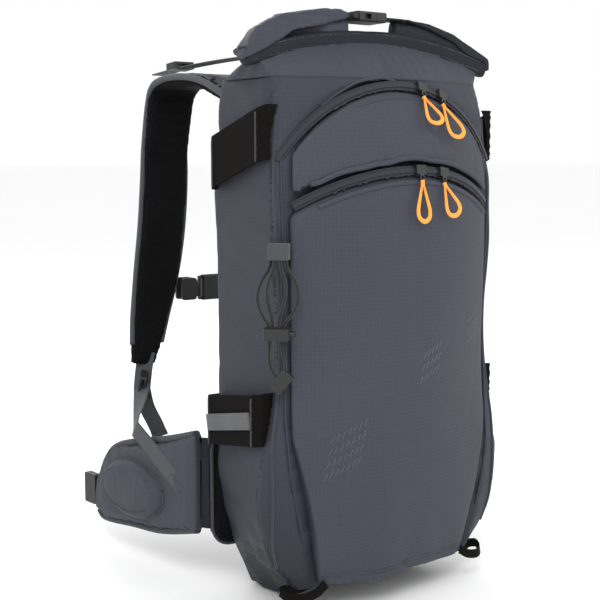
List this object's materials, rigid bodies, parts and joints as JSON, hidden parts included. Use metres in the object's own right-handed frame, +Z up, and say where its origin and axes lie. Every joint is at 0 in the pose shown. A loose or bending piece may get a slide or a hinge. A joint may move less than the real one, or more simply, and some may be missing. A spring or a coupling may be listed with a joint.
{
  "type": "ski touring backpack",
  "caption": "Roll-top ski touring backpack with arched front zips, side ski loops, padded shoulder straps and hip fins with pockets.",
  "frame": {"origin": "middle of the flat face under the pack that it stands on", "axes": "+Z up, +X to the right seen from the front, -Y towards the front panel"},
  "size_m": [0.3326, 0.3587, 0.537],
  "materials": {
    "shell_fabric": "slate grey ripstop",
    "side_fabric": "darker plain weave",
    "mesh": "spacer mesh",
    "webbing": "grey woven webbing",
    "elastic": "black elastic band",
    "reflective": "grey reflective webbing",
    "black_plastic": "moulded acetal",
    "zip_coil": "coil zip on black tape",
    "orange_pull": "moulded orange pull",
    "cord": "braided elastic cord",
    "frame_plastic": "sheet polyethylene"
  },
  "bodies": {
    "pack": {"main_sack": "shell_fabric", "frame_sheet": "frame_plastic", "upper_pocket": "shell_fabric", "upper_zip": "zip_coil", "upper_ski_loop_left": "elastic", "upper_ski_loop_right": "elastic", "lower_ski_loop_left": "elastic", "lower_ski_loop_right": "elastic", "loop_webbing": "reflective", "collar": "shell_fabric", "back_panel": "mesh", "lumbar_pad": "mesh", "haul_loop": "webbing", "shoulder_strap_left": "mesh", "shoulder_strap_right": "mesh", "load_lifters": "webbing", "lifter_locks": "black_plastic", "strap_lock_left": "black_plastic", "strap_lock_right": "black_plastic", "adjuster_webbing_left": "webbing", "adjuster_webbing_right": "webbing", "bungee_outer": "cord", "bungee_inner": "cord", "bungee_tab": "webbing", "pull_tab": "elastic", "axe_loop_left": "elastic", "axe_loop_right": "elastic"},
    "panel": {"front_panel": "shell_fabric", "lower_zip": "zip_coil"},
    "roll": {"roll_top": "shell_fabric", "roll_tail_left": "shell_fabric", "roll_tail_right": "shell_fabric", "top_buckle_socket": "black_plastic"},
    "top_plug": {"top_buckle_plug": "black_plastic"},
    "chest_left": {"chest_slider_left": "black_plastic", "chest_webbing_left": "webbing", "chest_buckle_socket": "black_plastic"},
    "chest_right": {"chest_slider_right": "black_plastic", "chest_webbing_right": "webbing"},
    "chest_plug": {"chest_buckle_plug": "black_plastic"},
    "fin_left": {"hip_fin_left": "shell_fabric", "hip_pocket_left": "shell_fabric", "hip_webbing_left": "webbing", "hip_buckle_left": "black_plastic"},
    "fin_right": {"hip_fin_right": "shell_fabric", "hip_pocket_right": "shell_fabric", "hip_webbing_right": "webbing", "hip_buckle_right": "black_plastic"},
    "lock": {"cord_lock": "black_plastic"},
    "button": {"lock_button": "black_plastic"},
    "upper_slider_left": {"upper_slider_left": "black_plastic"},
    "upper_pull_left": {"upper_pull_left": "orange_pull"},
    "upper_slider_right": {"upper_slider_right": "black_plastic"},
    "upper_pull_right": {"upper_pull_right": "orange_pull"},
    "lower_slider_left": {"lower_slider_left": "black_plastic"},
    "lower_pull_left": {"lower_pull_left": "orange_pull"},
    "lower_slider_right": {"lower_slider_right": "black_plastic"},
    "lower_pull_right": {"lower_pull_right": "orange_pull"}
  },
  "joints": [
    {"name": "roll_lift", "type": "slide", "parent": "pack", "child": "roll", "axis": [0, 0, 1], "range_m": [0, 0.1], "deforming": ["collar"]},
    {"name": "top_buckle_pull", "type": "slide", "parent": "roll", "child": "top_plug", "axis": [1, 0, 0], "range_m": [0, 0.015]},
    {"name": "panel_open", "type": "hinge", "parent": "pack", "child": "panel", "pos_m": [0, -0.0855, 0.029], "axis": [1, 0, 0], "range_deg": [0, 60]},
    {"name": "chest_height", "type": "slide", "parent": "pack", "child": "chest_right", "axis": [0, 0, 1], "range_m": [0, 0.08]},
    {"name": "chest_height_left", "type": "slide", "parent": "pack", "child": "chest_left", "axis": [0, 0, 1], "range_m": [0, 0.08]},
    {"name": "chest_buckle_pull", "type": "slide", "parent": "chest_right", "child": "chest_plug", "axis": [1, 0, 0], "range_m": [0, 0.015]},
    {"name": "fin_left_swing", "type": "hinge", "parent": "pack", "child": "fin_left", "pos_m": [-0.132, 0.034, 0.1], "axis": [0, 0, 1], "range_deg": [-30, 12], "deforming": ["adjuster_webbing_left"]},
    {"name": "fin_right_swing", "type": "hinge", "parent": "pack", "child": "fin_right", "pos_m": [0.132, 0.034, 0.1], "axis": [0, 0, 1], "range_deg": [-12, 30], "deforming": ["adjuster_webbing_right"]},
    {"name": "cord_lock_slide", "type": "slide", "parent": "pack", "child": "lock", "axis": [0, 0, -1], "range_m": [0, 0.01]},
    {"name": "cord_lock_press", "type": "slide", "parent": "lock", "child": "button", "axis": [-0.7071, 0.7071, 0], "range_m": [0, 0.002], "stiffness_N_per_m": 300, "springref_m": -0.001},
    {"name": "upper_zip_left", "type": "hinge", "parent": "pack", "child": "upper_slider_left", "pos_m": [0, -0.06323, 0.33233], "axis": [0, -0.9744, -0.2249], "range_deg": [0, 30]},
    {"name": "upper_pull_left_swing", "type": "hinge", "parent": "upper_slider_left", "child": "upper_pull_left", "pos_m": [0.02269, -0.1004, 0.4629], "axis": [-1, 0, 0], "range_deg": [0, 80]},
    {"name": "upper_zip_right", "type": "hinge", "parent": "pack", "child": "upper_slider_right", "pos_m": [0, -0.06323, 0.33233], "axis": [0, -0.9744, -0.2249], "range_deg": [-20, 0]},
    {"name": "upper_pull_right_swing", "type": "hinge", "parent": "upper_slider_right", "child": "upper_pull_right", "pos_m": [0.04702, -0.09896, 0.45666], "axis": [-1, 0, 0], "range_deg": [0, 80]},
    {"name": "lower_zip_left", "type": "hinge", "parent": "panel", "child": "lower_slider_left", "pos_m": [0, -0.00222, 0.26958], "axis": [0, -0.7433, -0.669], "range_deg": [0, 30]},
    {"name": "lower_pull_left_swing", "type": "hinge", "parent": "lower_slider_left", "child": "lower_pull_left", "pos_m": [0.00442, -0.12078, 0.38976], "axis": [-1, 0, 0], "range_deg": [0, 80]},
    {"name": "lower_zip_right", "type": "hinge", "parent": "panel", "child": "lower_slider_right", "pos_m": [0, -0.00222, 0.26958], "axis": [0, -0.7433, -0.669], "range_deg": [-20, 0]},
    {"name": "lower_pull_right_swing", "type": "hinge", "parent": "lower_slider_right", "child": "lower_pull_right", "pos_m": [0.03219, -0.11875, 0.3875], "axis": [-1, 0, 0], "range_deg": [0, 80]}
  ],
  "couplings": [
    {"joint": "chest_height_left", "follows": "chest_height", "ratio": 1}
  ]
}
